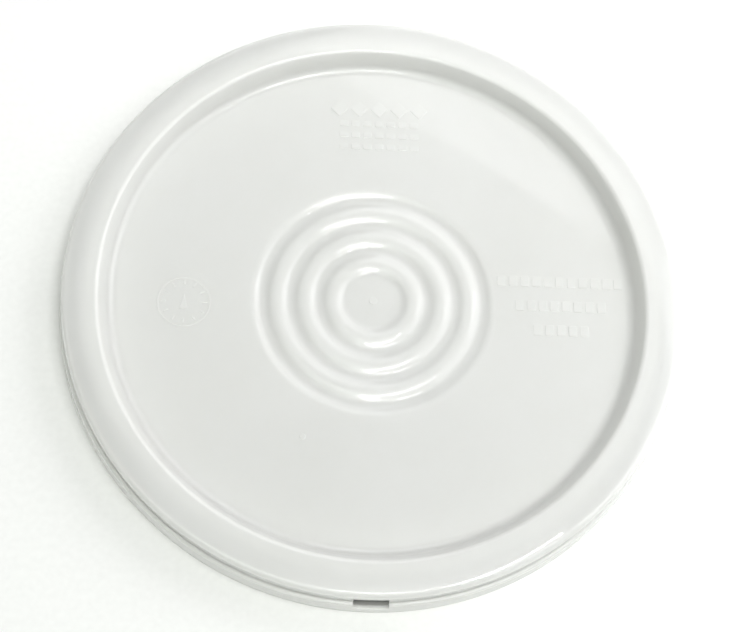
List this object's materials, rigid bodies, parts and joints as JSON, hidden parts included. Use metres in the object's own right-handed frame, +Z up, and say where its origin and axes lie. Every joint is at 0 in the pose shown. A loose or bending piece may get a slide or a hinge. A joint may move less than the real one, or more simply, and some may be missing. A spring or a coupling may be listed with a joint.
{
  "type": "fermenting bucket lid",
  "caption": "Round white press-on bucket lid: sunk panel with ripple rings, flat rim, plug ring, skirt with snap bead and cut windows, and a pull-out gasket.",
  "frame": {"origin": "centre of the plane that the skirt's bottom edge stands on", "axes": "+Z up through the rim, +Y towards the maker's mark, +X towards the opening mark"},
  "size_m": [0.3124, 0.3124, 0.023],
  "materials": {
    "cover_plastic": "satin",
    "gasket_rubber": "matte"
  },
  "bodies": {
    "cover": {"centre_panel": "cover_plastic", "countersink_wall": "cover_plastic", "rim_crown": "cover_plastic", "upper_skirt": "cover_plastic", "skirt_quarter_1": "cover_plastic", "skirt_quarter_2": "cover_plastic", "skirt_quarter_3": "cover_plastic", "skirt_quarter_4": "cover_plastic", "cut_strip_1": "cover_plastic", "cut_strip_2": "cover_plastic", "cut_strip_3": "cover_plastic", "cut_strip_4": "cover_plastic", "plug_ring": "cover_plastic", "plug_gussets": "cover_plastic", "maker_mark": "cover_plastic", "opening_mark": "cover_plastic", "date_dial": "cover_plastic", "pip_mark": "cover_plastic", "gate_mark": "cover_plastic"},
    "gasket": {"gasket": "gasket_rubber"}
  },
  "joints": [
    {"name": "gasket_pull", "type": "slide", "parent": "cover", "child": "gasket", "axis": [0, 0, -1], "range_m": [0, 0.03]}
  ]
}
